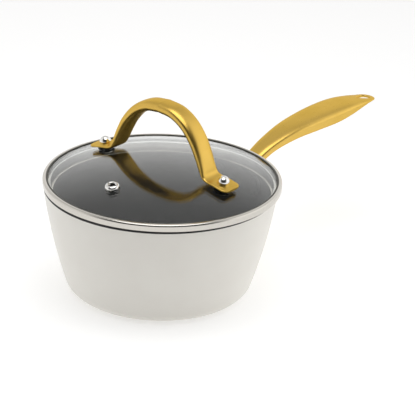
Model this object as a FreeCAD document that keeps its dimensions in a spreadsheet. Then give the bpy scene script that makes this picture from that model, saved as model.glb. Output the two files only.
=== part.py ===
"""Saucepan with a vented glass lid, in millimetres.

Frame: origin at the centre of the pan's flat base, +Z up, the long handle
along +X. The lid's own pieces are drawn with the lid handle along their local
X axis, then turned about Z by lid_turn.
"""

import FreeCAD
import Part
import Sketcher
import math
import os

from FreeCAD import Placement, Rotation, Vector

DIMENSIONS = [
    # pan body
    ("rim_radius", 92.7),
    ("rim_height", 87.2),
    ("rim_round", 1.2),
    ("base_radius", 64.0),
    ("corner_radius", 12.0),
    ("wall_lean", 18.0),
    ("wall_curve", 440.0),
    ("wall", 2.7),
    ("floor_thick", 4.0),
    ("disc_radius", 56.0),
    ("disc_thick", 1.0),
    ("disc_gap", 0.05),
    # handle bracket and its rivets through the pan wall
    ("bracket_width", 62.0),
    ("bracket_height", 26.0),
    ("bracket_thick", 2.2),
    ("bracket_centre", 68.7),
    ("bracket_corner", 8.0),
    ("rivet_azimuth", 14.5),
    ("rivet_radius", 3.0),
    ("rivet_head_radius", 7.6),
    ("rivet_head_thick", 1.6),
    ("rivet_gap", 0.05),
    ("rivet_head_gap", 0.4),
    ("rivet_head_dome", 1.2),
    ("rivet_peen", 1.6),
    ("rivet_peen_height", 1.5),
    # long handle
    ("handle_shell", 1.5),
    ("tip_reach", 251.5),
    ("tip_round", 8.5),
    ("hang_hole_start", 231.5),
    ("hang_hole_narrow", 1.8),
    ("hang_hole_end", 246.5),
    ("hang_hole_wide", 4.3),
    # lid
    ("lid_turn", -83.3),
    ("lid_shift_x", 0.85),
    ("lid_shift_y", -0.85),
    ("lid_gap", 0.3),
    ("dome_radius", 289.0),
    ("dome_top", 107.7),
    ("glass_thick", 3.0),
    ("glass_radius", 92.5),
    ("band_radius", 94.7),
    ("band_height", 6.25),
    ("band_sheet", 0.55),
    ("band_bead", 1.8),
    ("band_lip", 2.8),
    ("step_radius", 91.9),
    ("hem_lift", 0.5),
    ("hem_round", 0.9),
    ("skirt_radius", 88.3),
    ("skirt_taper", 1.07),
    ("skirt_depth", 7.4),
    ("skirt_flange", 1.4),
    ("seal_play", 0.1),
    ("seal_lip", 4.2),
    ("seal_sink", 0.1),
    # lid handle and the stack of washers under each foot
    ("foot_reach", 59.8),
    ("foot_width", 20.0),
    ("foot_thick", 2.0),
    ("foot_ahead", 10.3),
    ("foot_corner", 5.0),
    ("foot_length", 23.5),
    ("spacer_height", 2.6),
    ("spacer_radius", 6.5),
    ("stud_radius", 2.8),
    ("stud_play", 0.1),
    ("stud_head_radius", 4.7),
    ("stud_head_height", 5.6),
    ("stud_tail_radius", 4.2),
    ("stud_tail_height", 1.4),
    ("stud_tail_bevel", 1.0),
    ("stud_tail_flat", 0.5),
    ("gasket_neck", 0.6),
    ("glass_hole_radius", 4.0),
    ("gasket_radius", 7.0),
    ("gasket_thick", 1.2),
    ("washer_radius", 6.0),
    ("washer_thick", 0.8),
    # steam vent
    ("vent_reach", 59.5),
    ("vent_bore", 2.5),
    ("vent_tube", 0.7),
    ("vent_flange", 5.7),
    ("vent_collar", 4.0),
    ("vent_brim", 1.1),
    ("vent_lip", 1.6),
    ("vent_chamfer", 0.6),
    ("vent_foot", 4.9),
    ("vent_hole_radius", 4.2),
    ("vent_slot", 1.4),
    ("vent_slot_over", 3.0),
    ("vent_slot_depth", 1.8),
    # cutters reach well past what they cut
    ("cut_reach", 20.0),
]


# ---------------------------------------------------------------- helpers

def make_sheet(doc):
    """Spreadsheet with one plain number and one alias per row."""
    sheet = doc.addObject("Spreadsheet::Sheet", "dims")
    for row, (name, size) in enumerate(DIMENSIONS, start=1):
        sheet.set("A%d" % row, name)
        sheet.set("B%d" % row, str(size))
        sheet.setAlias("B%d" % row, name)
    doc.recompute()
    return sheet


def number(sheet, expression):
    """Value of a sheet expression, as a plain float."""
    result = sheet.evalExpression(expression)
    return float(getattr(result, "Value", result))


def origin_feature(body, role):
    """Plane or axis of a body's own origin."""
    for feature in body.Origin.OriginFeatures:
        if feature.Role == role:
            return feature
    raise RuntimeError("no origin feature " + role)


def add_sketch(body, name, role):
    """Empty sketch on one of the body's origin planes."""
    sketch = body.newObject("Sketcher::SketchObject", name)
    sketch.AttachmentSupport = (origin_feature(body, role), [""])
    sketch.MapMode = "FlatFace"
    return sketch


def arc_between(start, end, radius, bulge):
    """Arc edge from start to end; bulge +1 puts the centre left of the chord."""
    chord = end - start
    half = chord.Length / 2
    rise = math.sqrt(max(radius * radius - half * half, 0.0))
    left = Vector(-chord.y, chord.x, 0).normalize()
    centre = (start + end) * 0.5 + left * (rise * bulge)
    first = math.atan2(start.y - centre.y, start.x - centre.x)
    last = math.atan2(end.y - centre.y, end.x - centre.x)
    circle = Part.Circle(centre, Vector(0, 0, 1), radius)
    if bulge > 0:
        return Part.ArcOfCircle(circle, first, last), False
    return Part.ArcOfCircle(circle, last, first), True


def draw_outline(sketch, sheet, corners):
    """Closed outline, every size bound to the sheet.

    corners holds (across, up) or (across, up, radius, bulge); the last two
    make the edge that leaves this corner an arc.
    """
    places = [Vector(number(sheet, c[0]), number(sheet, c[1]), 0) for c in corners]
    count = len(corners)
    starts = []
    ends = []
    for i, corner in enumerate(corners):
        here = places[i]
        there = places[(i + 1) % count]
        if len(corner) == 4:
            radius = number(sheet, corner[2])
            edge, swapped = arc_between(here, there, radius, corner[3])
        else:
            edge, swapped = Part.LineSegment(here, there), False
        index = sketch.addGeometry(edge, False)
        starts.append((index, 2 if swapped else 1))
        ends.append((index, 1 if swapped else 2))
    for i, corner in enumerate(corners):
        index, point = starts[i]
        before, before_point = ends[i - 1]
        sketch.addConstraint(Sketcher.Constraint("Coincident", before, before_point, index, point))
        for kind, expression, place in (
            ("DistanceX", corner[0], places[i].x),
            ("DistanceY", corner[1], places[i].y),
        ):
            bind(sketch, Sketcher.Constraint(kind, -1, 1, index, point, place), expression)
        if len(corner) == 4:
            radius = number(sheet, corner[2])
            bind(sketch, Sketcher.Constraint("Radius", index, radius), corner[2])


def bind(sketch, constraint, expression):
    """Add a dimension and tie it to a sheet expression."""
    index = sketch.addConstraint(constraint)
    sketch.setExpression("Constraints[%d]" % index, expression)


def revolved_body(doc, sheet, label, corners):
    """Body turned about Z from an outline in its XZ plane."""
    body = doc.addObject("PartDesign::Body", label)
    sketch = add_sketch(body, label + "_outline", "XZ_Plane")
    draw_outline(sketch, sheet, corners)
    turn = body.newObject("PartDesign::Revolution", label + "_turn")
    turn.Profile = sketch
    turn.ReferenceAxis = (sketch, ["V_Axis"])
    turn.Angle = 360.0
    body.Tip = turn
    doc.recompute()
    return body


def pin_through(doc, sheet, label, radius, place):
    """Cutting cylinder along a placement's Z, to both sides of it."""
    pin = doc.addObject("Part::Cylinder", label)
    pin.setExpression("Radius", radius)
    pin.setExpression("Height", "2 * dims.cut_reach")
    back = Vector(0, 0, -number(sheet, "dims.cut_reach"))
    pin.Placement = place.multiply(Placement(back, Rotation()))
    return pin


def cut(doc, label, base, tools):
    """Base with every tool taken away."""
    tool = tools[0]
    if len(tools) > 1:
        tool = doc.addObject("Part::MultiFuse", label + "_tools")
        tool.Shapes = tools
    result = doc.addObject("Part::Cut", label)
    result.Base = base
    result.Tool = tool
    doc.recompute()
    return result


# ---------------------------------------------------------------- pan

WALL_FOOT = (
    "dims.base_radius + dims.corner_radius * cos(dims.wall_lean)",
    "dims.corner_radius * (1 - sin(dims.wall_lean))",
)
INNER_FOOT = (
    "dims.base_radius + (dims.corner_radius - dims.wall) * cos(dims.wall_lean)",
    "dims.floor_thick + (dims.corner_radius - dims.wall) * (1 - sin(dims.wall_lean))",
)


def make_pan_body(doc, sheet, rivet_places):
    """Cast vessel with a rounded rim, a recess for the disc and rivet holes."""
    corners = [
        ("0", "dims.disc_thick"),
        ("dims.disc_radius + dims.disc_gap", "dims.disc_thick"),
        ("dims.disc_radius + dims.disc_gap", "0"),
        ("dims.base_radius", "0", "dims.corner_radius", 1),
        WALL_FOOT + ("dims.wall_curve", 1),
        ("dims.rim_radius", "dims.rim_height - dims.rim_round", "dims.rim_round", 1),
        ("dims.rim_radius - dims.rim_round", "dims.rim_height"),
        ("dims.rim_radius - dims.wall + dims.rim_round", "dims.rim_height", "dims.rim_round", 1),
        (
            "dims.rim_radius - dims.wall",
            "dims.rim_height - dims.rim_round",
            "dims.wall_curve - dims.wall",
            -1,
        ),
        INNER_FOOT + ("dims.corner_radius - dims.wall", -1),
        ("dims.base_radius", "dims.floor_thick"),
        ("0", "dims.floor_thick"),
    ]
    vessel = revolved_body(doc, sheet, "pan_vessel", corners)
    radius = "dims.rivet_radius + dims.rivet_gap"
    holes = [pin_through(doc, sheet, "wall_hole_" + side, radius, place)
             for side, place in rivet_places.items()]
    return cut(doc, "pan_body", vessel, holes)


def make_base_disc(doc, sheet):
    """Flat steel disc set into the pan's base."""
    disc = doc.addObject("Part::Cylinder", "base_disc")
    disc.setExpression("Radius", "dims.disc_radius")
    disc.setExpression("Height", "dims.disc_thick - dims.disc_gap")
    return disc


def wall_point(sheet, height, inside):
    """Radius and outward lean, in degrees, of the pan wall at a height."""
    shift = number(sheet, "dims.wall") if inside else 0.0
    top = Vector(number(sheet, "dims.rim_radius") - shift,
                 number(sheet, "dims.rim_height - dims.rim_round"), 0)
    foot_names = INNER_FOOT if inside else WALL_FOOT
    foot = Vector(number(sheet, foot_names[0]), number(sheet, foot_names[1]), 0)
    curve = number(sheet, "dims.wall_curve") - shift
    chord = top - foot
    rise = math.sqrt(curve * curve - chord.Length * chord.Length / 4)
    left = Vector(-chord.y, chord.x, 0).normalize()
    centre = (top + foot) * 0.5 + left * rise
    up = height - centre.y
    across = math.sqrt(curve * curve - up * up)
    return centre.x + across, math.degrees(math.asin(-up / curve))


def rivet_placements(sheet):
    """Placements on the outer wall, Z pointing straight out of it."""
    height = number(sheet, "dims.bracket_centre")
    radius, lean = wall_point(sheet, height, False)
    places = {}
    for side, sign in (("left", 1), ("right", -1)):
        azimuth = sign * number(sheet, "dims.rivet_azimuth")
        about_z = Placement(Vector(), Rotation(Vector(0, 0, 1), azimuth))
        out = Placement(Vector(radius, 0, height), Rotation(Vector(0, 1, 0), 90 + lean))
        places[side] = about_z.multiply(out)
    return places


def make_bracket(doc, sheet, rivet_places):
    """Plate that hugs the wall, welded to the handle and riveted to the pan."""
    thick = "dims.bracket_thick"
    corners = [
        WALL_FOOT + ("dims.wall_curve", 1),
        ("dims.rim_radius", "dims.rim_height - dims.rim_round"),
        ("dims.rim_radius + " + thick, "dims.rim_height - dims.rim_round",
         "dims.wall_curve + " + thick, -1),
        (WALL_FOOT[0] + " + " + thick, WALL_FOOT[1]),
    ]
    shell = revolved_body(doc, sheet, "bracket_shell", corners)
    blank = doc.addObject("PartDesign::Body", "bracket_blank")
    sketch = add_sketch(blank, "bracket_plan", "YZ_Plane")
    across = "dims.bracket_width / 2"
    up = "dims.bracket_height / 2"
    middle = "dims.bracket_centre"
    corner = "dims.bracket_corner"
    draw_outline(sketch, sheet, rounded_rectangle(across, up, middle, corner))
    pad = blank.newObject("PartDesign::Pad", "bracket_pad")
    pad.Profile = sketch
    pad.setExpression("Length", "dims.rim_radius + dims.cut_reach")
    blank.Tip = pad
    doc.recompute()
    plate = doc.addObject("Part::Common", "bracket_plate")
    plate.Base = shell
    plate.Tool = blank
    radius = "dims.rivet_radius + dims.rivet_gap"
    holes = [pin_through(doc, sheet, "bracket_hole_" + side, radius, place)
             for side, place in rivet_places.items()]
    return cut(doc, "handle_bracket", plate, holes)


def rounded_rectangle(across, up, middle, corner):
    """Outline corners of a rounded rectangle about (0, middle)."""
    outline = []
    for x_sign, z_sign in ((1, -1), (1, 1), (-1, 1), (-1, -1)):
        x = "%d * (%s)" % (x_sign, across)
        z = "%s + %d * (%s)" % (middle, z_sign, up)
        x_in = "%d * (%s - %s)" % (x_sign, across, corner)
        z_in = "%s + %d * (%s - %s)" % (middle, z_sign, up, corner)
        leaves_side = x_sign == z_sign
        first = (x, z_in) if leaves_side else (x_in, z)
        second = (x_in, z) if leaves_side else (x, z_in)
        outline.append(first + (corner, 1))
        outline.append(second)
    return outline


def make_pan_rivet(doc, sheet, side, place):
    """Rivet with a flat coated head inside the pan and a peened end outside."""
    height = number(sheet, "dims.bracket_centre")
    outer, lean = wall_point(sheet, height, False)
    inner, _ = wall_point(sheet, height, True)
    through = (outer - inner) * math.cos(math.radians(lean))
    seat = "-(%.4f + dims.rivet_head_gap)" % through
    face = seat + " - dims.rivet_head_thick"
    plate = "dims.bracket_thick + dims.rivet_gap"
    corners = [
        ("0", face),
        ("dims.rivet_head_radius - dims.rivet_head_dome", face),
        ("dims.rivet_head_radius", seat + " - dims.rivet_head_thick / 4"),
        ("dims.rivet_head_radius", seat),
        ("dims.rivet_radius", seat),
        ("dims.rivet_radius", plate),
        ("dims.rivet_radius + dims.rivet_peen", plate),
        ("dims.rivet_radius + dims.rivet_peen / 2", plate + " + dims.rivet_peen_height * 0.8"),
        ("0", plate + " + dims.rivet_peen_height"),
    ]
    rivet = revolved_body(doc, sheet, "handle_rivet_" + side, corners)
    rivet.Placement = place
    return rivet


# ---------------------------------------------------------------- swept handles

def oval_wire(centre, along, half_width, half_thick, squareness):
    """Closed smooth section across the local Y axis and a tilted normal.

    along is the centre line's slope angle in radians, in the XZ plane.
    """
    normal = Vector(-math.sin(along), 0, math.cos(along))
    side = Vector(0, 1, 0)
    points = []
    for step in range(24):
        turn = 2 * math.pi * step / 24
        across = math.copysign(abs(math.cos(turn)) ** (2 / squareness), math.cos(turn))
        up = math.copysign(abs(math.sin(turn)) ** (2 / squareness), math.sin(turn))
        points.append(centre + side * (across * half_width) + normal * (up * half_thick))
    curve = Part.BSplineCurve()
    curve.interpolate(points, PeriodicFlag=True)
    return Part.Wire([curve.toShape()])


# x, height of the centre line, slope, width, thickness, squareness of section
LONG_HANDLE_STATIONS = [
    (91.5, 70.0, 42.0, 15.5, 9.5, 2.8),
    (99.0, 76.6, 40.0, 16.0, 9.0, 2.8),
    (108.0, 83.2, 31.0, 16.8, 8.6, 3.0),
    (122.0, 90.0, 21.5, 19.2, 8.8, 3.2),
    (145.0, 96.3, 11.5, 24.2, 10.7, 3.4),
    (170.0, 99.5, 6.5, 28.4, 13.0, 3.4),
    (195.0, 101.5, 3.0, 30.8, 13.3, 3.4),
    (213.0, 103.1, 1.0, 29.0, 10.9, 3.2),
    (229.0, 103.8, -1.0, 23.6, 6.8, 3.0),
    (241.0, 103.8, -3.0, 18.6, 3.0, 3.0),
    (252.0, 103.3, -4.0, 17.2, 1.8, 3.0),
]


def handle_loft(stations, shrink):
    """Solid through the stations, each section smaller by shrink all round."""
    wires = []
    for x, z, slope, width, thick, squareness in stations:
        wires.append(oval_wire(
            Vector(x, 0, z), math.radians(slope),
            width / 2 - shrink, thick / 2 - shrink, squareness))
    return Part.makeLoft(wires, True, False)


def make_long_handle(doc, sheet):
    """Hollow bowed grip that ends in a flat loop with a drop-shaped hole."""
    shell = number(sheet, "dims.handle_shell")
    outer = handle_loft(LONG_HANDLE_STATIONS, 0.0)
    hollow = handle_loft(LONG_HANDLE_STATIONS[1:8], shell)
    shape = outer.cut(hollow)
    shape = shape.common(rounded_tip(sheet))
    shape = shape.cut(drop_hole(sheet))
    shape = shape.cut(wall_filler(sheet))
    handle = doc.addObject("Part::Feature", "long_handle")
    handle.Shape = shape
    return handle


def wall_filler(sheet):
    """Everything inside the bracket's outer face, as a solid of revolution."""
    rim = number(sheet, "dims.rim_radius + dims.bracket_thick")
    top = number(sheet, "dims.rim_height - dims.rim_round")
    foot = number(sheet, WALL_FOOT[0] + " + dims.bracket_thick")
    low = number(sheet, WALL_FOOT[1])
    curve = number(sheet, "dims.wall_curve + dims.bracket_thick")
    start = Vector(foot, low, 0)
    end = Vector(rim, top, 0)
    arc, _ = arc_between(start, end, curve, 1)
    middle = arc.value((arc.FirstParameter + arc.LastParameter) / 2)
    points = [Vector(p.x, 0, p.y) for p in (start, middle, end)]
    edges = [
        Part.Arc(*points).toShape(),
        Part.LineSegment(points[2], Vector(0, 0, top)).toShape(),
        Part.LineSegment(Vector(0, 0, top), Vector(0, 0, low)).toShape(),
        Part.LineSegment(Vector(0, 0, low), points[0]).toShape(),
    ]
    face = Part.Face(Part.Wire(edges))
    return face.revolve(Vector(), Vector(0, 0, 1), 360)


def rounded_tip(sheet):
    """Upright prism over the handle's plan that rounds its tip."""
    rim = number(sheet, "dims.rim_radius")
    low = number(sheet, "dims.bracket_centre - dims.cut_reach")
    tall = number(sheet, "dims.rim_height")
    radius = number(sheet, "dims.tip_round")
    middle = number(sheet, "dims.tip_reach") - radius
    start = rim - number(sheet, "dims.cut_reach")
    back = Part.makeBox(middle - start, 2 * rim, tall, Vector(start, -rim, low))
    disc = Part.makeCylinder(radius, tall, Vector(middle, 0, low))
    return back.fuse(disc)


def drop_hole(sheet):
    """Upright drop-shaped cutter between two round ends on the handle's centre line."""
    low = number(sheet, "dims.bracket_centre")
    tall = number(sheet, "dims.rim_height")
    narrow_radius = number(sheet, "dims.hang_hole_narrow")
    wide_radius = number(sheet, "dims.hang_hole_wide")
    narrow_centre = number(sheet, "dims.hang_hole_start + dims.hang_hole_narrow")
    wide_centre = number(sheet, "dims.hang_hole_end - dims.hang_hole_wide")
    narrow = Part.makeCylinder(narrow_radius, tall, Vector(narrow_centre, 0, low))
    wide = Part.makeCylinder(wide_radius, tall, Vector(wide_centre, 0, low))
    lean = math.asin((wide_radius - narrow_radius) / (wide_centre - narrow_centre))
    corners = []
    for centre, radius, side in (
        (narrow_centre, narrow_radius, -1),
        (wide_centre, wide_radius, -1),
        (wide_centre, wide_radius, 1),
        (narrow_centre, narrow_radius, 1),
    ):
        along = centre - radius * math.sin(lean)
        corners.append(Vector(along, side * radius * math.cos(lean), low))
    web = Part.Face(Part.makePolygon(corners + corners[:1])).extrude(Vector(0, 0, tall))
    return wide.fuse(narrow).fuse(web)


# ---------------------------------------------------------------- lid

DOME_CENTRE = "(dims.dome_top - dims.dome_radius)"
LID_SEAT = "(dims.rim_height + dims.lid_gap)"
GLASS_INNER = "(dims.dome_radius - dims.glass_thick)"


def dome_height(radius_name, reach):
    """Expression for the height of a dome surface at a distance from the axis."""
    return "%s + sqrt(%s^2 - (%s)^2)" % (DOME_CENTRE, radius_name, reach)


def on_dome(sheet, reach, azimuth):
    """Placement on the glass, Z straight out of it, already turned with the lid."""
    sphere = number(sheet, "dims.dome_radius")
    centre = number(sheet, DOME_CENTRE)
    tilt = math.degrees(math.asin(reach / sphere))
    about_z = Rotation(Vector(0, 0, 1), number(sheet, "dims.lid_turn") + azimuth)
    spin = Placement(lid_shift(sheet), about_z)
    height = centre + math.sqrt(sphere * sphere - reach * reach)
    out = Placement(Vector(reach, 0, height), Rotation(Vector(0, 1, 0), tilt))
    return spin.multiply(out)


def lid_shift(sheet):
    """How far off centre the lid lies in its play on the rim."""
    return Vector(number(sheet, "dims.lid_shift_x"), number(sheet, "dims.lid_shift_y"), 0)


def lay_with_lid(piece):
    """Turn and shift a piece drawn about the lid's axis, with the lid."""
    piece.Placement = Placement(Vector(), Rotation(Vector(0, 0, 1), 1))
    piece.setExpression("Placement.Rotation.Angle", "dims.lid_turn")
    piece.setExpression("Placement.Base.x", "dims.lid_shift_x")
    piece.setExpression("Placement.Base.y", "dims.lid_shift_y")


def make_glass(doc, sheet, foot_places, vent_place):
    """Tempered dome with two rivet holes and the vent hole."""
    edge = "dims.glass_radius"
    hole = "dims.glass_hole_radius"
    corners = [
        ("0", "dims.dome_top - dims.glass_thick", GLASS_INNER, -1),
        (edge, dome_height(GLASS_INNER, edge)),
        (edge, dome_height("dims.dome_radius", edge), "dims.dome_radius", 1),
        ("0", "dims.dome_top"),
    ]
    dome = revolved_body(doc, sheet, "glass_dome", corners)
    lay_with_lid(dome)
    holes = [pin_through(doc, sheet, "glass_hole_" + side, hole, place)
             for side, place in foot_places.items()]
    holes.append(pin_through(doc, sheet, "glass_hole_vent", "dims.vent_hole_radius", vent_place))
    return cut(doc, "glass_lid", dome, holes)


def make_band(doc, sheet):
    """Rolled steel rim band: lip, rounded bead, raised hem, seat and flanged inner skirt."""
    rim = "dims.band_radius"
    bead = "dims.band_bead"
    sheet_thick = "dims.band_sheet"
    top = LID_SEAT + " + dims.band_height"
    hem = LID_SEAT + " + dims.hem_lift"
    hem_round = "dims.hem_round"
    step = "dims.step_radius"
    skirt_foot = "dims.skirt_radius - dims.skirt_taper"
    foot = LID_SEAT + " - dims.skirt_depth"
    corners = [
        (rim + " - dims.band_lip", top + " - " + sheet_thick),
        (rim + " - dims.band_lip", top),
        (rim + " - " + bead, top, bead, -1),
        (rim, top + " - " + bead),
        (rim, hem + " + " + hem_round, hem_round, -1),
        (rim + " - " + hem_round, hem),
        (step, hem),
        (step, LID_SEAT),
        ("dims.skirt_radius", LID_SEAT),
        (skirt_foot, foot),
        (skirt_foot + " - dims.skirt_flange", foot),
        (skirt_foot + " - dims.skirt_flange", foot + " + " + sheet_thick),
        (skirt_foot + " - " + sheet_thick, foot + " + " + sheet_thick),
        ("dims.skirt_radius - " + sheet_thick, LID_SEAT + " + " + sheet_thick),
        (step + " - " + sheet_thick, LID_SEAT + " + " + sheet_thick),
        (step + " - " + sheet_thick, hem + " + " + sheet_thick),
        (rim + " - " + hem_round, hem + " + " + sheet_thick, hem_round + " - " + sheet_thick, 1),
        (rim + " - " + sheet_thick, hem + " + " + hem_round),
        (rim + " - " + sheet_thick, top + " - " + bead, bead + " - " + sheet_thick, 1),
        (rim + " - " + bead, top + " - " + sheet_thick),
    ]
    band = revolved_body(doc, sheet, "lid_rim_band", corners)
    lay_with_lid(band)
    return band


def make_rim_seal(doc, sheet):
    """Soft channel between the glass edge and the band, with a bead inside the band's lip."""
    play = "dims.seal_play"
    edge = "dims.glass_radius + " + play
    outside = "dims.band_radius - dims.band_sheet - " + play
    lip = "dims.band_radius - dims.seal_lip"
    lip_gap = "dims.band_radius - dims.band_lip - " + play
    under_lip = LID_SEAT + " + dims.band_height - dims.band_sheet - " + play
    seal_top = LID_SEAT + " + dims.band_height - dims.seal_sink"
    over_seat = LID_SEAT + " + dims.band_sheet + " + play
    over_hem = over_seat + " + dims.hem_lift"
    step = "dims.step_radius - dims.band_sheet - " + play
    corners = [
        (lip, dome_height("dims.dome_radius", lip) + " + " + play,
         "dims.dome_radius + " + play, -1),
        (edge, dome_height("dims.dome_radius", edge) + " + " + play),
        (edge, dome_height(GLASS_INNER, edge) + " - " + play),
        (lip, dome_height(GLASS_INNER, edge) + " - " + play),
        (lip, over_seat),
        (step, over_seat),
        (step, over_hem),
        ("dims.band_radius - dims.hem_round", over_hem),
        (outside, LID_SEAT + " + dims.hem_lift + dims.hem_round"),
        (outside, LID_SEAT + " + dims.band_height - dims.band_bead"),
        ("dims.band_radius - dims.band_bead", under_lip),
        (lip_gap, under_lip),
        (lip_gap, seal_top),
        (lip, seal_top),
    ]
    seal = revolved_body(doc, sheet, "rim_seal", corners)
    lay_with_lid(seal)
    return seal


def stack_piece(doc, sheet, label, corners, place):
    """Turned piece that stands on the glass at a placement."""
    piece = revolved_body(doc, sheet, label, corners)
    piece.Placement = place
    return piece


def ring(inner, outer, low, high):
    """Outline of a plain ring."""
    return [(inner, low), (outer, low), (outer, high), (inner, high)]


def make_foot_stack(doc, sheet, side, place):
    """Spacer, gasket, back washer and rivet that hold one foot on the glass."""
    play = "dims.stud_play"
    inner = "dims.stud_radius + " + play
    glass_low = "-dims.glass_thick"
    gasket_high = glass_low + " - " + play
    gasket_low = gasket_high + " - dims.gasket_thick"
    washer_low = gasket_low + " - dims.washer_thick"
    foot_top = "dims.spacer_height + dims.foot_thick"
    sleeve = "dims.glass_hole_radius - " + play
    head_round = foot_top + " + dims.stud_head_height - dims.stud_head_radius"
    spacer = stack_piece(doc, sheet, "foot_spacer_" + side,
                         ring(inner, "dims.spacer_radius", "0", "dims.spacer_height"), place)
    gasket = stack_piece(doc, sheet, "glass_gasket_" + side, [
        (inner, gasket_low),
        ("dims.gasket_radius", gasket_low),
        ("dims.gasket_radius", gasket_high),
        (sleeve, gasket_high),
        (sleeve, "-dims.gasket_neck"),
        (inner, "-dims.gasket_neck"),
    ], place)
    washer = stack_piece(doc, sheet, "back_washer_" + side,
                         ring(inner, "dims.washer_radius", washer_low, gasket_low), place)
    tail_low = washer_low + " - dims.stud_tail_height"
    rivet = stack_piece(doc, sheet, "lid_rivet_" + side, [
        ("0", tail_low),
        ("dims.stud_tail_radius - dims.stud_tail_bevel", tail_low),
        ("dims.stud_tail_radius", washer_low + " - dims.stud_tail_flat"),
        ("dims.stud_tail_radius", washer_low),
        ("dims.stud_radius", washer_low),
        ("dims.stud_radius", foot_top),
        ("dims.stud_head_radius", foot_top),
        ("dims.stud_head_radius", head_round, "dims.stud_head_radius", 1),
        ("0", foot_top + " + dims.stud_head_height"),
    ], place)
    return [spacer, gasket, washer, rivet]


def make_vent(doc, sheet, place):
    """Rolled steel eyelet with a seal and washer under the glass."""
    tube = "dims.vent_bore + dims.vent_tube"
    glass_low = "-dims.glass_thick - dims.stud_play"
    gasket_low = glass_low + " - dims.gasket_thick"
    eyelet_body = revolved_body(doc, sheet, "vent_barrel", [
        ("dims.vent_bore", gasket_low + " - dims.washer_thick"),
        ("dims.vent_foot", gasket_low + " - dims.washer_thick"),
        ("dims.vent_foot", gasket_low),
        (tube, gasket_low),
        (tube, "dims.stud_play"),
        ("dims.vent_flange", "dims.stud_play"),
        ("dims.vent_flange", "dims.vent_brim", "dims.vent_collar", 1),
        ("dims.vent_bore + dims.vent_lip", "dims.vent_collar"),
        ("dims.vent_bore + dims.vent_chamfer", "dims.vent_collar"),
        ("dims.vent_bore", "dims.vent_collar - dims.vent_chamfer"),
    ])
    slot = doc.addObject("Part::Box", "vent_slots")
    slot.setExpression("Length", "dims.vent_slot")
    slot.setExpression("Width", "2 * dims.vent_bore + dims.vent_slot_over")
    slot.setExpression("Height", "dims.vent_collar")
    corner = Vector(
        -number(sheet, "dims.vent_slot / 2"),
        -number(sheet, "dims.vent_bore + dims.vent_slot_over / 2"),
        number(sheet, "dims.vent_collar - dims.vent_slot_depth"))
    slot.Placement = Placement(corner, Rotation())
    eyelet = cut(doc, "vent_eyelet", eyelet_body, [slot])
    eyelet.Placement = place
    gasket = stack_piece(doc, sheet, "vent_gasket", [
        (tube + " + dims.stud_play", gasket_low),
        ("dims.vent_flange", gasket_low),
        ("dims.vent_flange", glass_low),
        ("dims.vent_hole_radius - dims.stud_play", glass_low),
        ("dims.vent_hole_radius - dims.stud_play", "-dims.gasket_neck"),
        (tube + " + dims.stud_play", "-dims.gasket_neck"),
    ], place)
    return [eyelet, gasket]


# distance from the lid axis, height, slope, width, thickness, squareness
ARCH_STATIONS = [
    (0.0, 152.9, 0.0, 18.4, 9.0, 2.6),
    (13.4, 151.0, -18.0, 18.4, 9.0, 2.6),
    (25.0, 144.5, -41.0, 18.4, 8.8, 2.6),
    (34.3, 134.0, -57.0, 18.4, 8.2, 2.6),
    (40.3, 123.0, -63.5, 18.2, 7.4, 2.6),
    (44.8, 112.8, -63.0, 18.2, 5.6, 2.8),
    (47.5, 108.4, -45.0, 19.0, 3.4, 3.2),
    (51.2, 106.6, -14.0, 19.6, 2.1, 4.0),
]


def make_lid_handle(doc, sheet, foot_places):
    """Arched bar whose two ends are pressed flat into riveted feet."""
    stations = [(-s, z, -slope, w, t, q) for s, z, slope, w, t, q in reversed(ARCH_STATIONS[1:])]
    stations = stations + ARCH_STATIONS
    arch = handle_loft(stations, 0.0)
    turn = Rotation(Vector(0, 0, 1), number(sheet, "dims.lid_turn"))
    arch.Placement = Placement(lid_shift(sheet), turn)
    shape = arch
    for place in foot_places.values():
        shape = shape.fuse(foot_plate(sheet, place))
    for place in foot_places.values():
        shape = shape.cut(foot_hole(sheet, place))
    handle = doc.addObject("Part::Feature", "lid_handle")
    handle.Shape = shape.removeSplitter()
    return handle


def foot_plate(sheet, place):
    """Flat foot with rounded corners, in place on its spacer."""
    width = number(sheet, "dims.foot_width")
    length = number(sheet, "dims.foot_length")
    thick = number(sheet, "dims.foot_thick")
    low = number(sheet, "dims.spacer_height")
    ahead = number(sheet, "dims.foot_ahead")
    plate = Part.makeBox(length, width, thick, Vector(ahead - length, -width / 2, low))
    ends = [e for e in plate.Edges
            if abs(e.Vertexes[0].X - ahead) < 0.01 and abs(e.Vertexes[1].X - ahead) < 0.01
            and abs(e.Vertexes[0].Z - e.Vertexes[1].Z) > 0.1]
    plate = plate.makeFillet(number(sheet, "dims.foot_corner"), ends)
    plate.Placement = place
    return plate


def foot_hole(sheet, place):
    """Hole for the rivet through a foot."""
    radius = number(sheet, "dims.stud_radius + dims.stud_play")
    half = number(sheet, "dims.cut_reach")
    hole = Part.makeCylinder(radius, 2 * half, Vector(0, 0, -half))
    hole.Placement = place
    return hole


# ---------------------------------------------------------------- assembly

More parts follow.
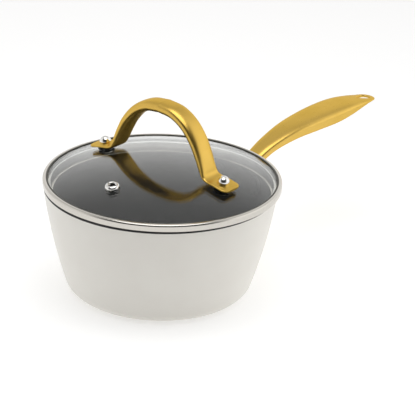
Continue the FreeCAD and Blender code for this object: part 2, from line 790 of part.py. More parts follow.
def build():
    """Make the document and return the labelled pieces that are written out."""
    doc = FreeCAD.newDocument("saucepan")
    sheet = make_sheet(doc)
    rivet_places = rivet_placements(sheet)
    reach = number(sheet, "dims.foot_reach")
    foot_places = {"front": on_dome(sheet, reach, 0), "back": on_dome(sheet, reach, 180)}
    vent_place = on_dome(sheet, number(sheet, "dims.vent_reach"), -90)
    pieces = [
        make_pan_body(doc, sheet, rivet_places),
        make_base_disc(doc, sheet),
        make_bracket(doc, sheet, rivet_places),
        make_long_handle(doc, sheet),
        make_glass(doc, sheet, foot_places, vent_place),
        make_band(doc, sheet),
        make_rim_seal(doc, sheet),
        make_lid_handle(doc, sheet, foot_places),
    ]
    for side, place in rivet_places.items():
        pieces.append(make_pan_rivet(doc, sheet, side, place))
    for side, place in foot_places.items():
        pieces.extend(make_foot_stack(doc, sheet, side, place))
    pieces.extend(make_vent(doc, sheet, vent_place))
    doc.recompute()
    return doc, pieces


def check(doc, pieces):
    """Stop on any failed object or shape."""
    for item in doc.Objects:
        if "Invalid" in item.State or "Error" in item.State:
            raise RuntimeError("failed object: " + item.Name)
    for piece in pieces:
        shape = piece.Shape
        if shape.isNull() or not shape.isValid() or not shape.Solids:
            raise RuntimeError("bad shape: " + piece.Label)
        print("%-22s solids %d  volume %.0f mm3" % (piece.Label, len(shape.Solids), shape.Volume))


def export(pieces):
    """Write one STEP file per piece, named after its label."""
    os.makedirs("parts", exist_ok=True)
    for piece in pieces:
        piece.Shape.exportStep("parts/" + piece.Label + ".step")


document, parts = build()
check(document, parts)
export(parts)
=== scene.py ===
"""Saucepan with a vented glass lid, dressed for a studio picture. Lengths are in metres.

The frame's boxes give every place. The pan's axis is the frame's Z axis, the long
handle runs along +X, and the lid's pieces are drawn with the lid handle along their
local X axis and then laid on the pan by lid_place().
"""

import math

import bmesh
import bpy
from mathutils import Matrix, Vector


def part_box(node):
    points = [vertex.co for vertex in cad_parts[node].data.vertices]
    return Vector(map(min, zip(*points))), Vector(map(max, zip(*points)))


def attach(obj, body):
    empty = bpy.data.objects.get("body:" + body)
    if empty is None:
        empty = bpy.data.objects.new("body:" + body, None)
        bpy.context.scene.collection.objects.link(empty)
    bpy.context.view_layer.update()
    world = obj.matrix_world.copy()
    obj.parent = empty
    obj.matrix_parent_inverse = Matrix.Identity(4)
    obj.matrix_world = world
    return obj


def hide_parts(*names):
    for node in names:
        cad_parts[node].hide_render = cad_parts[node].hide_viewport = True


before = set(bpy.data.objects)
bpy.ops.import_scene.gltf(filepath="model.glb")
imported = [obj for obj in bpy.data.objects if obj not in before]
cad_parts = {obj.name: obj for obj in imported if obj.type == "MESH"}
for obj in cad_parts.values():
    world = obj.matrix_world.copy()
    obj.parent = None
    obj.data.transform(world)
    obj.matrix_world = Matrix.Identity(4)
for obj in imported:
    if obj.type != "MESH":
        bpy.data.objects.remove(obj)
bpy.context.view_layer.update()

MM = 0.001
TURNS = 256              # steps round the pan and the lid
SMALL_TURNS = 96         # steps round rivets, washers, gaskets, the vent and drilled holes
SHARP_ANGLE = 35.0       # edges bent by more degrees than this stay sharp
ARC_STEP = 15.0          # largest bend between two points of a rounding, degrees
MERGE_DISTANCE = 1e-7

# ---------------------------------------------------------------- sizes

# pan
BASE_RADIUS = 64.0 * MM
CORNER_RADIUS = 12.0 * MM
CORNER_STEPS = 12
WALL_LEAN = math.radians(18.0)
WALL_CURVE = 440.0 * MM
WALL = 2.7 * MM
FLOOR_THICK = 4.0 * MM
RIM_ROUND = 1.2 * MM
RIM_STEPS = 6
# dark strip down the outer wall below the rim: the coating's real wrap, and painted shade for the
# gap under the lid's band
COAT_AND_SHADE_EDGE = 0.3 * MM
DISC_RADIUS = 56.0 * MM
DISC_THICK = 1.0 * MM
DISC_GAP = 0.05 * MM

# lid
DOME_RADIUS = 289.0 * MM
GLASS_THICK = 3.0 * MM
GLASS_RADIUS = 92.5 * MM
GLASS_EDGE_ROUND = 1.1 * MM
DOME_STEPS = 40
LID_GAP = 0.3 * MM
BAND_SHEET = 0.55 * MM
BAND_BEAD = 1.8 * MM
BAND_LIP = 2.8 * MM
STEP_RADIUS = 91.9 * MM
HEM_LIFT = 0.5 * MM
HEM_ROUND = 0.9 * MM
SKIRT_RADIUS = 88.3 * MM
SKIRT_TAPER = 1.07 * MM
SKIRT_DEPTH = 7.4 * MM
SKIRT_FLANGE = 1.4 * MM
SEAL_LIP = 4.2 * MM
SEAL_SINK = 0.1 * MM
SHEET_SOFT = 0.45        # rounding of a sheet's edge, as a share of its thickness
PLAY = 0.1 * MM

# roundings of small parts
FINE_SOFT = 0.1 * MM
SMALL_SOFT = 0.2 * MM
EDGE_SOFT = 0.3 * MM
SPACER_SOFT = 0.35 * MM
TAIL_SOFT = 0.8 * MM
VENT_SOFT = 2.3 * MM

# lid handle, rivets and vent
FOOT_WIDTH = 20.0 * MM
FOOT_THICK = 2.0 * MM
FOOT_AHEAD = 10.3 * MM
FOOT_CORNER = 5.0 * MM
FOOT_REACH = 59.8 * MM   # lid's axis to a rivet
SPACER_HEIGHT = 2.6 * MM
SPACER_RADIUS = 6.5 * MM
STUD_RADIUS = 2.8 * MM
STUD_HEAD_RADIUS = 4.7 * MM
STUD_HEAD_HEIGHT = 5.6 * MM
STUD_TAIL_RADIUS = 4.2 * MM
STUD_TAIL_HEIGHT = 1.4 * MM
HEAD_STEPS = 15
GLASS_HOLE_RADIUS = 4.0 * MM
GASKET_RADIUS = 7.0 * MM
GASKET_THICK = 1.2 * MM
GASKET_NECK = 0.6 * MM   # glass's top to the top of a gasket's sleeve
WASHER_RADIUS = 6.0 * MM
WASHER_THICK = 0.8 * MM
VENT_REACH = 59.5 * MM
VENT_BORE = 2.5 * MM
VENT_TUBE = 0.7 * MM
VENT_FLANGE = 5.7 * MM
VENT_COLLAR = 4.0 * MM
VENT_FOOT = 4.9 * MM
VENT_HOLE_RADIUS = 4.2 * MM
VENT_LIFT = 0.1 * MM
VENT_SLOT = 1.4 * MM
VENT_SLOT_OVER = 3.0 * MM
VENT_SLOT_DEPTH = 1.8 * MM

# camera
VIEW_AZIMUTH = math.radians(45.0)
VIEW_ELEVATION = math.radians(23.59)
VIEW_ROLL = math.radians(2.117)
VIEW_DISTANCE = 1.4
AIM_ACROSS = 37.5 * MM
AIM_BELOW_RIM = 18.9 * MM
LENS = 152.7
SENSOR = 36.0
CAMERA_REACH = 20.0

# floor and light
FLOOR_HALF = 4.0
FLOOR_TONE = 0.82
FLOOR_GLOW = 0.38
ROOM_GLOW = 0.6
LAMP_PLACE = (-0.17, -0.17, 1.3)
LAMP_AIM = (0.05, 0.0, 0.0)
LAMP_WIDTH = 1.2
LAMP_POWER = 7.8


# ---------------------------------------------------------------- mesh helpers

def finish_mesh(name, mesh, materials, sharp=SHARP_ANGLE):
    """Object from a mesh: joined vertices, outward normals, smooth with sharp edges kept."""
    work = bmesh.new()
    work.from_mesh(mesh)
    bmesh.ops.remove_doubles(work, verts=work.verts, dist=MERGE_DISTANCE)
    bmesh.ops.dissolve_degenerate(work, edges=work.edges, dist=MERGE_DISTANCE)
    bmesh.ops.recalc_face_normals(work, faces=work.faces)
    work.to_mesh(mesh)
    work.free()
    mesh.shade_smooth()
    mesh.set_sharp_from_angle(angle=math.radians(sharp))
    for material in materials:
        mesh.materials.append(material)
    piece = bpy.data.objects.new(name, mesh)
    bpy.context.scene.collection.objects.link(piece)
    return piece


def make_mesh(name, vertices, faces, face_materials=None):
    """Plain mesh data from vertices and faces."""
    mesh = bpy.data.meshes.new(name)
    mesh.from_pydata([tuple(v) for v in vertices], [], faces)
    if face_materials:
        mesh.polygons.foreach_set("material_index", face_materials)
    return mesh


def arc_points(centre, first, last, steps):
    """Points on an arc about a centre, from its first spoke to its last."""
    sweep = first.angle(last)
    points = []
    for step in range(steps + 1):
        share = step / steps
        spoke = first * math.sin((1 - share) * sweep) + last * math.sin(share * sweep)
        points.append(tuple(centre + spoke / math.sin(sweep)))
    return points


def soft_outline(corners):
    """Outline points from (radius, height, rounding) corners, each rounded by an arc."""
    points = []
    count = len(corners)
    for i, (r, z, rounding) in enumerate(corners):
        here = Vector((r, z))
        if rounding <= 0:
            points.append((r, z))
            continue
        before = (Vector(corners[i - 1][:2]) - here).normalized()
        after = (Vector(corners[(i + 1) % count][:2]) - here).normalized()
        half = before.angle(after) / 2
        reach = rounding / math.tan(half)
        centre = here + (before + after).normalized() * (rounding / math.sin(half))
        first = here + before * reach - centre
        last = here + after * reach - centre
        steps = max(2, math.ceil(math.degrees(first.angle(last)) / ARC_STEP))
        points += arc_points(centre, first, last, steps)
    return points


def curve_points(start, end, radius, steps=24):
    """Points on an arc from start to end, its centre left of the chord."""
    start, end = Vector(start), Vector(end)
    chord = end - start
    rise = math.sqrt(radius * radius - chord.length_squared / 4)
    left = Vector((-chord.y, chord.x)).normalized()
    centre = (start + end) / 2 + left * rise
    return arc_points(centre, start - centre, end - centre, steps)


def lathe(name, outline, materials, place=Matrix(), turns=TURNS, edge_material=None,
          sharp=SHARP_ANGLE):
    """Piece turned about its own Z axis from a closed outline of (radius, height) points."""
    vertices = []
    for r, z in outline:
        for step in range(turns):
            angle = 2 * math.pi * step / turns
            vertices.append(place @ Vector((r * math.cos(angle), r * math.sin(angle), z)))
    faces = []
    face_materials = []
    count = len(outline)
    for i in range(count):
        j = (i + 1) % count
        if max(outline[i][0], outline[j][0]) < MERGE_DISTANCE:
            continue
        for step in range(turns):
            ahead = (step + 1) % turns
            faces.append((i * turns + step, i * turns + ahead, j * turns + ahead, j * turns + step))
            face_materials.append(edge_material(i) if edge_material else 0)
    return finish_mesh(name, make_mesh(name, vertices, faces, face_materials), materials, sharp)


def smooth_value(stations, column, position):
    """Value of a station column at a position along the stations, on a smooth curve."""
    positions = [station[0] for station in stations]
    values = [station[column] for station in stations]
    last = len(stations) - 1
    i = 0
    while i < last - 1 and position > positions[i + 1]:
        i += 1
    span = positions[i + 1] - positions[i]
    share = min(max((position - positions[i]) / span, 0.0), 1.0)
    slopes = []
    for k in (i, i + 1):
        low, high = max(k - 1, 0), min(k + 1, last)
        slopes.append((values[high] - values[low]) / (positions[high] - positions[low]))
    a, b = values[i], values[i + 1]
    square, cube = share * share, share ** 3
    return ((2 * cube - 3 * square + 1) * a + (cube - 2 * square + share) * span * slopes[0]
            + (3 * square - 2 * cube) * b + (cube - square) * span * slopes[1])


# ---------------------------------------------------------------- material helpers

def add_node(tree, kind, inputs=None, **settings):
    """Node with its settings, and its inputs set or linked."""
    made = tree.nodes.new(kind)
    for key, value in settings.items():
        setattr(made, key, value)
    for key, value in (inputs or {}).items():
        if isinstance(value, bpy.types.NodeSocket):
            tree.links.new(value, made.inputs[key])
        else:
            made.inputs[key].default_value = value
    return made


def new_material(name, sockets):
    """Principled material with its plain socket values set."""
    material = bpy.data.materials.new(name)
    material.use_nodes = True
    tree = material.node_tree
    shader = tree.nodes["Principled BSDF"]
    for socket, value in sockets.items():
        shader.inputs[socket].default_value = value
    return material, tree, shader


def object_point(tree, scale=(1.0, 1.0, 1.0), turn=0.0):
    """Object coordinates, turned about Z and stretched."""
    coordinates = add_node(tree, "ShaderNodeTexCoord")
    mapping = add_node(tree, "ShaderNodeMapping",
                       {"Vector": coordinates.outputs["Object"], "Scale": scale,
                        "Rotation": (0.0, 0.0, turn)})
    return mapping.outputs["Vector"]


def noise(tree, vector, scale, detail=2.0):
    """Noise value over a vector."""
    made = add_node(tree, "ShaderNodeTexNoise",
                    {"Vector": vector, "Scale": scale, "Detail": detail})
    return made.outputs["Fac"]


# most of the noise lies between these
NOISE_LOW, NOISE_HIGH = 0.3, 0.7


def spread(tree, value, low, high):
    """Noise moved to low..high."""
    made = add_node(tree, "ShaderNodeMapRange",
                    {"Value": value, "From Min": NOISE_LOW, "From Max": NOISE_HIGH,
                     "To Min": low, "To Max": high})
    return made.outputs["Result"]


def opaque(colour):
    """Colour with full alpha."""
    return tuple(colour) + (1.0,)


def blend_colours(tree, factor, first, second):
    """Mix of two colours by a factor socket."""
    made = add_node(tree, "ShaderNodeMix",
                    {"Factor": factor, "A": opaque(first), "B": opaque(second)}, data_type="RGBA")
    return made.outputs["Result"]


def combine(tree, kind, first, second):
    """Result of a maths operation on two values."""
    made = add_node(tree, "ShaderNodeMath", {0: first, 1: second}, operation=kind)
    return made.outputs["Value"]


def combine_vectors(tree, kind, first, second):
    """Result of a maths operation on two vectors."""
    made = add_node(tree, "ShaderNodeVectorMath", {0: first, 1: second}, operation=kind)
    return made.outputs["Value" if kind == "DOT_PRODUCT" else "Vector"]


def bump(tree, shader, height, strength, distance):
    """Bump from a height socket into the shader's normal."""
    made = add_node(tree, "ShaderNodeBump",
                    {"Height": height, "Strength": strength, "Distance": distance})
    tree.links.new(made.outputs["Normal"], shader.inputs["Normal"])


# ---------------------------------------------------------------- materials

def cream_enamel():
    """Pearl cream enamel with a faint orange peel."""
    material, tree, shader = new_material("cream_enamel", {
        "Roughness": 0.42, "Coat Weight": 0.25, "Coat Roughness": 0.25, "Specular IOR Level": 0.45})
    place = object_point(tree)
    tone = blend_colours(tree, spread(tree, noise(tree, place, scale=35.0), 0.0, 1.0),
                         (0.79, 0.765, 0.71), (0.81, 0.79, 0.735))
    tree.links.new(tone, shader.inputs["Base Color"])
    bump(tree, shader, noise(tree, place, scale=900.0), strength=0.08, distance=0.1 * MM)
    return material


# flecks show where the noise is above this
FLECK_RARITY = 0.58


def nonstick():
    """Charcoal nonstick coating with fine pale flecks."""
    material, tree, shader = new_material("nonstick", {
        "Roughness": 0.5, "Specular IOR Level": 0.4})
    place = object_point(tree)
    flecks = add_node(tree, "ShaderNodeTexVoronoi", {"Vector": place, "Scale": 700.0})
    fleck = add_node(tree, "ShaderNodeMapRange",
                     {"Value": flecks.outputs["Distance"], "From Min": 0.12, "From Max": 0.2,
                      "To Min": 1.0, "To Max": 0.0})
    rare = combine(tree, "GREATER_THAN", noise(tree, place, scale=260.0), FLECK_RARITY)
    share = combine(tree, "MULTIPLY", fleck.outputs["Result"], rare)
    tone = blend_colours(tree, share, (0.018, 0.018, 0.019), (0.09, 0.09, 0.09))
    tree.links.new(tone, shader.inputs["Base Color"])
    bump(tree, shader, noise(tree, place, scale=1400.0), strength=0.1, distance=0.08 * MM)
    return material


# stretch of the brushing: long along X, fine across it
GOLD_STREAKS = (60.0, 2500.0, 2500.0)


def satin_gold(name, low_tone, high_tone, turn=0.0):
    """Brushed gold plating with fine streaks along the piece."""
    material, tree, shader = new_material(name, {
        "Metallic": 1.0, "Specular Tint": (0.82, 0.72, 0.48, 1.0)})
    streaks = noise(tree, object_point(tree, GOLD_STREAKS, turn), scale=1.0, detail=4.0)
    clouds = noise(tree, object_point(tree), scale=60.0)
    tone = blend_colours(tree, spread(tree, clouds, 0.0, 1.0), low_tone, high_tone)
    tree.links.new(tone, shader.inputs["Base Color"])
    tree.links.new(spread(tree, streaks, low=0.27, high=0.34), shader.inputs["Roughness"])
    bump(tree, shader, streaks, strength=0.06, distance=0.03 * MM)
    return material


def satin_steel(name, centre, tone, smoothest, roughest):
    """Steel sheet with circular brushing about the lid's axis."""
    material, tree, shader = new_material(name, {"Base Color": opaque(tone), "Metallic": 1.0})
    coordinates = add_node(tree, "ShaderNodeTexCoord")
    apart = combine_vectors(tree, "SUBTRACT", coordinates.outputs["Object"],
                            (centre.x, centre.y, 0.0))
    flat = combine_vectors(tree, "MULTIPLY", apart, (1.0, 1.0, 0.0))
    radius = add_node(tree, "ShaderNodeVectorMath", {0: flat}, operation="LENGTH")
    split = add_node(tree, "ShaderNodeSeparateXYZ", {0: apart})
    across = combine(tree, "ADD", radius.outputs["Value"], split.outputs["Z"])
    lines = add_node(tree, "ShaderNodeTexNoise", {"W": across, "Scale": 9000.0},
                     noise_dimensions="1D").outputs["Fac"]
    tree.links.new(spread(tree, lines, smoothest, roughest), shader.inputs["Roughness"])
    bump(tree, shader, lines, strength=0.06, distance=0.02 * MM)
    return material


# roughness of the dullest polished steel against the brightest
WORN_MORE = 1.7


def polished_steel(name, roughness):
    """Bright turned steel with faint wear in its gloss."""
    material, tree, shader = new_material(name, {
        "Base Color": (0.80, 0.79, 0.77, 1.0), "Metallic": 1.0})
    wear = noise(tree, object_point(tree), scale=600.0)
    worn = spread(tree, wear, roughness, roughness * WORN_MORE)
    tree.links.new(worn, shader.inputs["Roughness"])
    return material


# rubber's lightest tone against its colour
GRAIN_LIGHTER = 1.35


def rubber(name, colour, roughness):
    """Soft moulded rubber with a fine grain."""
    material, tree, shader = new_material(name, {
        "Roughness": roughness, "Specular IOR Level": 0.35})
    place = object_point(tree)
    lighter = tuple(GRAIN_LIGHTER * part for part in colour)
    tone = blend_colours(tree, spread(tree, noise(tree, place, scale=300.0), 0.0, 1.0),
                         colour, lighter)
    tree.links.new(tone, shader.inputs["Base Color"])
    bump(tree, shader, noise(tree, place, scale=2500.0), strength=0.15, distance=0.05 * MM)
    return material


def clear_glass():
    """Clear tempered glass that lets the lamps' light through."""
    material, tree, shader = new_material("clear_glass", {
        "Base Color": (0.97, 0.985, 0.975, 1.0), "Transmission Weight": 1.0, "IOR": 1.5})
    haze = noise(tree, object_point(tree), scale=40.0)
    tree.links.new(spread(tree, haze, low=0.0, high=0.012), shader.inputs["Roughness"])
    clear = add_node(tree, "ShaderNodeBsdfTransparent", {"Color": (0.93, 0.95, 0.94, 1.0)})
    rays = add_node(tree, "ShaderNodeLightPath")
    mix = add_node(tree, "ShaderNodeMixShader",
                   {0: rays.outputs["Is Shadow Ray"], 1: shader.outputs["BSDF"],
                    2: clear.outputs["BSDF"]})
    output = tree.nodes["Material Output"]
    tree.links.new(mix.outputs["Shader"], output.inputs["Surface"])
    return material


# ---------------------------------------------------------------- frame places

def ends(node):
    """Lowest and highest corner of a node's box."""
    low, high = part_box(node)
    return Vector(low), Vector(high)


def middle(node):
    """Centre of a node's box."""
    low, high = ends(node)
    return (low + high) / 2


pan_low, pan_high = ends("pan_body")
band_low, band_high = ends("lid_rim_band")
rim_radius = (pan_high.y - pan_low.y) / 2
rim_height = pan_high.z
lid_seat = rim_height + LID_GAP
band_top = band_high.z
band_radius = (band_high.x - band_low.x) / 2
dome_centre = ends("glass_lid")[1].z - DOME_RADIUS
lid_centre = middle("lid_rim_band")
foot_line = middle("lid_rivet_front") - middle("lid_rivet_back")
lid_turn = math.atan2(foot_line.y, foot_line.x)


def dome_height(reach, radius):
    """Height of a dome surface at a distance from the lid's axis."""
    return dome_centre + math.sqrt(radius ** 2 - reach ** 2)


def lid_place():
    """Lays a piece drawn about the lid's axis on the pan."""
    return Matrix.Translation((lid_centre.x, lid_centre.y, 0.0)) @ Matrix.Rotation(lid_turn, 4, "Z")


def on_dome(reach, azimuth):
    """Place on the glass at a reach from the lid's axis, Z straight out of it."""
    tilt = math.asin(reach / DOME_RADIUS)
    spot = Matrix.Translation((reach, 0.0, dome_height(reach, DOME_RADIUS)))
    return lid_place() @ Matrix.Rotation(azimuth, 4, "Z") @ spot @ Matrix.Rotation(tilt, 4, "Y")


def dress(piece, body, node):
    """Piece rides on a body and stands for a CAD node, which is hidden."""
    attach(piece, body)
    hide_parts(node)
    return piece


# ---------------------------------------------------------------- pan

def wall_points(inset, floor, top):
    """Corner arc and bowed wall, inset from the outside, from the flat base up to the top."""
    radius = CORNER_RADIUS - inset
    points = []
    for step in range(CORNER_STEPS + 1):
        angle = -math.pi / 2 + (math.pi / 2 - WALL_LEAN) * step / CORNER_STEPS
        points.append((BASE_RADIUS + radius * math.cos(angle),
                       floor + radius + radius * math.sin(angle)))
    return points + curve_points(points[-1], top, WALL_CURVE - inset)[1:]


def make_pan(enamel, coating):
    """Vessel with enamel outside, coating inside and a rounded rim."""
    wall_top = rim_height - RIM_ROUND
    outside = wall_points(0.0, 0.0, (rim_radius, wall_top))
    below, top = Vector(outside[-2]), Vector(outside[-1])
    outside.insert(-1, tuple(top + (below - top).normalized() * COAT_AND_SHADE_EDGE))
    rim = []
    for centre, first in ((rim_radius - RIM_ROUND, 0.0), (rim_radius - WALL + RIM_ROUND, 90.0)):
        for step in range(1, RIM_STEPS + 1):
            angle = math.radians(first + 90.0 * step / RIM_STEPS)
            rim.append((centre + RIM_ROUND * math.cos(angle),
                        wall_top + RIM_ROUND * math.sin(angle)))
    inside = wall_points(WALL, FLOOR_THICK, (rim_radius - WALL, wall_top))[-2::-1]
    recess = DISC_RADIUS + DISC_GAP
    start = [(0.0, DISC_THICK), (recess, DISC_THICK), (recess, 0.0)]
    outline = start + outside + rim + inside + [(0.0, FLOOR_THICK)]
    # From here the dark coating runs over the rim and a strip down the outer wall: the wrap over the
    # rim is real, the strip under the band's hem is also painted shade.
    coating_and_shade_start = len(start) + len(outside) - 2   # the coating laps COAT_AND_SHADE_EDGE over the rim
    piece = lathe("pan_vessel", outline, [enamel, coating],
                  edge_material=lambda i: 1 if i >= coating_and_shade_start else 0)
    return dress(piece, "pan", "pan_body")


# ---------------------------------------------------------------- long handle

# x, height of the centre line, slope in degrees, width, thickness, squareness; millimetres
GRIP_STATIONS = [
    (91.5, 70.0, 42.0, 15.5, 9.5, 2.8),
    (99.0, 76.6, 40.0, 16.0, 9.0, 2.8),
    (108.0, 83.2, 31.0, 16.8, 8.6, 3.0),
    (122.0, 90.0, 21.5, 19.2, 8.8, 3.2),
    (145.0, 96.3, 11.5, 24.2, 10.7, 3.4),
    (170.0, 99.5, 6.5, 28.4, 13.0, 3.4),
    (195.0, 101.5, 3.0, 30.8, 13.3, 3.4),
    (213.0, 103.1, 1.0, 29.0, 10.9, 3.2),
    (229.0, 103.8, -1.0, 23.6, 6.8, 3.0),
    (241.0, 103.8, -3.0, 18.6, 3.0, 3.0),
    (252.0, 103.3, -4.0, 17.2, 1.8, 3.0),
]
GRIP_START = 93.5
TIP_REACH = 251.5
TIP_ROUND = 8.5
HOLE_START, HOLE_END = 231.5, 246.5
HOLE_NARROW, HOLE_WIDE = 1.8, 4.3
HOLE_SOFT = 0.9
HOLE_LEAD = 4.0          # closer rows start this far before the hole
HALVINGS = 40            # steps of the search for the hole's outline

# rows along the grip, and columns from the middle or the hole out to each side
BODY_ROWS, LEAD_ROWS, NARROW_ROWS, STRAIGHT_ROWS, WIDE_ROWS, TIP_ROWS = 70, 10, 6, 10, 8, 12
GRIP_COLUMNS, INNER_COLUMNS = 30, 8
INNER_SHARE = 0.35       # share of the width under the inner columns
EDGE_CROWDING = 1.7


def hole_distance(x, y):
    """Distance from the drop-shaped hole's outline, outside it, in millimetres."""
    narrow, wide = HOLE_START + HOLE_NARROW, HOLE_END - HOLE_WIDE
    length = wide - narrow
    lean = (HOLE_WIDE - HOLE_NARROW) / length
    along = math.sqrt(1 - lean * lean)
    px, py = abs(y), wide - x
    k = -lean * px + along * py
    if k < 0:
        return math.hypot(px, py) - HOLE_WIDE
    if k > along * length:
        return math.hypot(px, py - length) - HOLE_NARROW
    return px * along + py * lean - HOLE_WIDE


def hole_half_width(x):
    """Half width of the drop-shaped hole at x, zero outside it."""
    if x <= HOLE_START or x >= HOLE_END:
        return 0.0
    if hole_distance(x, 0.0) >= 0:
        return 0.0
    low, high = 0.0, HOLE_WIDE
    for _ in range(HALVINGS):
        half = (low + high) / 2
        if hole_distance(x, half) < 0:
            low = half
        else:
            high = half
    return (low + high) / 2


def even(share):
    """Rows at equal steps."""
    return share


def close_first(share):
    """Rows that start close together."""
    return 1 - math.cos(math.pi / 2 * share)


def close_last(share):
    """Rows that end close together."""
    return math.sin(math.pi / 2 * share)


def grip_rows():
    """Places of the handle's rows, closer together round the hole's ends and the tip."""
    stretches = (
        (GRIP_START, HOLE_START - HOLE_LEAD, BODY_ROWS, even),
        (HOLE_START - HOLE_LEAD, HOLE_START, LEAD_ROWS, even),
        (HOLE_START, HOLE_START + HOLE_NARROW, NARROW_ROWS, close_first),
        (HOLE_START + HOLE_NARROW, HOLE_END - HOLE_WIDE, STRAIGHT_ROWS, even),
        (HOLE_END - HOLE_WIDE, HOLE_END, WIDE_ROWS, close_last),
        (HOLE_END, TIP_REACH, TIP_ROWS, close_last),
    )
    rows = []
    for start, end, count, spacing in stretches:
        rows += [start + (end - start) * spacing(i / count) for i in range(count)]
    return rows + [TIP_REACH]


def strip_share(column, square):
    """Share of a strip's width at a column: close together at the hole and the outer edge."""
    if column <= INNER_COLUMNS:
        return INNER_SHARE * close_first(column / INNER_COLUMNS)
    first = math.asin(INNER_SHARE ** (square / 2))
    remaining = (GRIP_COLUMNS - column) / (GRIP_COLUMNS - INNER_COLUMNS)
    ahead = 1 - remaining ** EDGE_CROWDING
    return math.sin(first + (math.pi / 2 - first) * ahead) ** (2 / square)


def make_grip(gold):
    """Bowed grip whose end thins into a loop with a rounded drop-shaped hole."""
    tip_middle = TIP_REACH - TIP_ROUND
    rings = []
    for x in grip_rows():
        z, slope, width, thick, square = (smooth_value(GRIP_STATIONS, c, x) for c in range(1, 6))
        half = width / 2
        if x > tip_middle:
            half = math.sqrt(max(TIP_ROUND ** 2 - (x - tip_middle) ** 2, 0.0))
        gap = hole_half_width(x)
        lean = math.radians(slope)
        normal = Vector((-math.sin(lean), 0.0, math.cos(lean)))
        ring = {}
        for side in (-1, 1):
            for face in (-1, 1):
                for column in range(GRIP_COLUMNS + 1):
                    y = gap + (half - gap) * strip_share(column, square)
                    share = y / half if half > 0 else 1.0
                    if x > tip_middle:
                        share = math.hypot(x - tip_middle, y) / TIP_ROUND
                    share = min(share, 1.0)
                    high = thick / 2 * (1 - share ** square) ** (1 / square)
                    near = min(max(hole_distance(x, y), 0.0) / HOLE_SOFT, 1.0)
                    high *= math.sqrt(1 - (1 - near) ** 2)
                    if column == GRIP_COLUMNS:
                        high = 0.0
                    point = Vector((x, side * y, z)) + normal * (face * high)
                    ring[side, face, column] = point * MM
        rings.append(ring)
    return skin_rings("grip", rings, GRIP_COLUMNS, gold)


def skin_rings(name, rings, columns, material):
    """Skin over rows that each hold two strips, left and right, with two faces."""
    vertices = []
    index = {}
    for row, ring in enumerate(rings):
        for key, point in ring.items():
            index[(row,) + key] = len(vertices)
            vertices.append(point)
    faces = []
    for row in range(len(rings) - 1):
        for side in (-1, 1):
            for face in (-1, 1):
                for column in range(columns):
                    faces.append((index[row, side, face, column],
                                  index[row, side, face, column + 1],
                                  index[row + 1, side, face, column + 1],
                                  index[row + 1, side, face, column]))
    for row in (0, len(rings) - 1):
        for side in (-1, 1):
            top = [index[row, side, 1, column] for column in range(columns + 1)]
            bottom = [index[row, side, -1, column] for column in range(columns, -1, -1)]
            faces.append(top + bottom)
    return finish_mesh(name, make_mesh(name, vertices, faces), [material], sharp=60.0)


# ---------------------------------------------------------------- lid handle

# distance from the lid's axis, height, slope, width, thickness, squareness; millimetres
ARCH_STATIONS = [
    (0.0, 152.9, 0.0, 18.4, 9.0, 2.6),
    (13.4, 151.0, -18.0, 18.4, 9.0, 2.6),
    (25.0, 144.5, -41.0, 18.4, 8.8, 2.6),
    (34.3, 134.0, -57.0, 18.4, 8.2, 2.6),
    (40.3, 123.0, -63.5, 18.2, 7.4, 2.6),
    (44.8, 112.8, -63.0, 18.2, 5.6, 2.8),
    (47.5, 108.4, -45.0, 19.0, 3.4, 3.2),
    (51.2, 106.6, -14.0, 19.6, 2.1, 4.0),
]
ARCH_ROWS = 90
ARCH_AROUND = 64
FOOT_ROWS = 10
FOOT_HEEL = 4.0          # the flat of the foot starts this far behind the rivet, millimetres
FOOT_SQUARE = 5.0


def arch_rows(reach):
    """(along, height, slope, width, thickness, squareness) rows from the apex to a foot's end."""
    lengths = [0.0]
    for a, b in zip(ARCH_STATIONS, ARCH_STATIONS[1:]):
        lengths.append(lengths[-1] + math.hypot(b[0] - a[0], b[1] - a[1]))
    stations = [(length,) + station for length, station in zip(lengths, ARCH_STATIONS)]
    tilt = math.asin(reach / DOME_RADIUS)
    surface = Vector((reach, dome_height(reach, DOME_RADIUS))) / MM
    out = Vector((math.sin(tilt), math.cos(tilt)))
    along = Vector((math.cos(tilt), -math.sin(tilt)))
    lift = (SPACER_HEIGHT + FOOT_THICK / 2) / MM
    ahead, corner, half = FOOT_AHEAD / MM, FOOT_CORNER / MM, FOOT_WIDTH / MM / 2
    slope, thick = -math.degrees(tilt), FOOT_THICK / MM
    for slide in (-FOOT_HEEL, 0.0, ahead - corner):
        point = surface + out * lift + along * slide
        length = stations[-1][0] + (point - Vector(stations[-1][1:3])).length
        stations.append((length, point.x, point.y, slope, 2 * half, thick, FOOT_SQUARE))
    rows = []
    for i in range(ARCH_ROWS + 1):
        length = stations[-1][0] * i / ARCH_ROWS
        rows.append([smooth_value(stations, column, length) for column in range(1, 7)])
    start = surface + out * lift + along * (ahead - corner)
    for step in range(1, FOOT_ROWS + 1):
        angle = math.pi / 2 * step / FOOT_ROWS
        point = start + along * (corner * math.sin(angle))
        width = 2 * (half - corner + corner * math.cos(angle))
        rows.append([point.x, point.y, slope, width, thick, FOOT_SQUARE])
    return rows


def bulged(value, square):
    """Cosine or sine bent from a circle towards a square."""
    return math.copysign(abs(value) ** (2 / square), value)


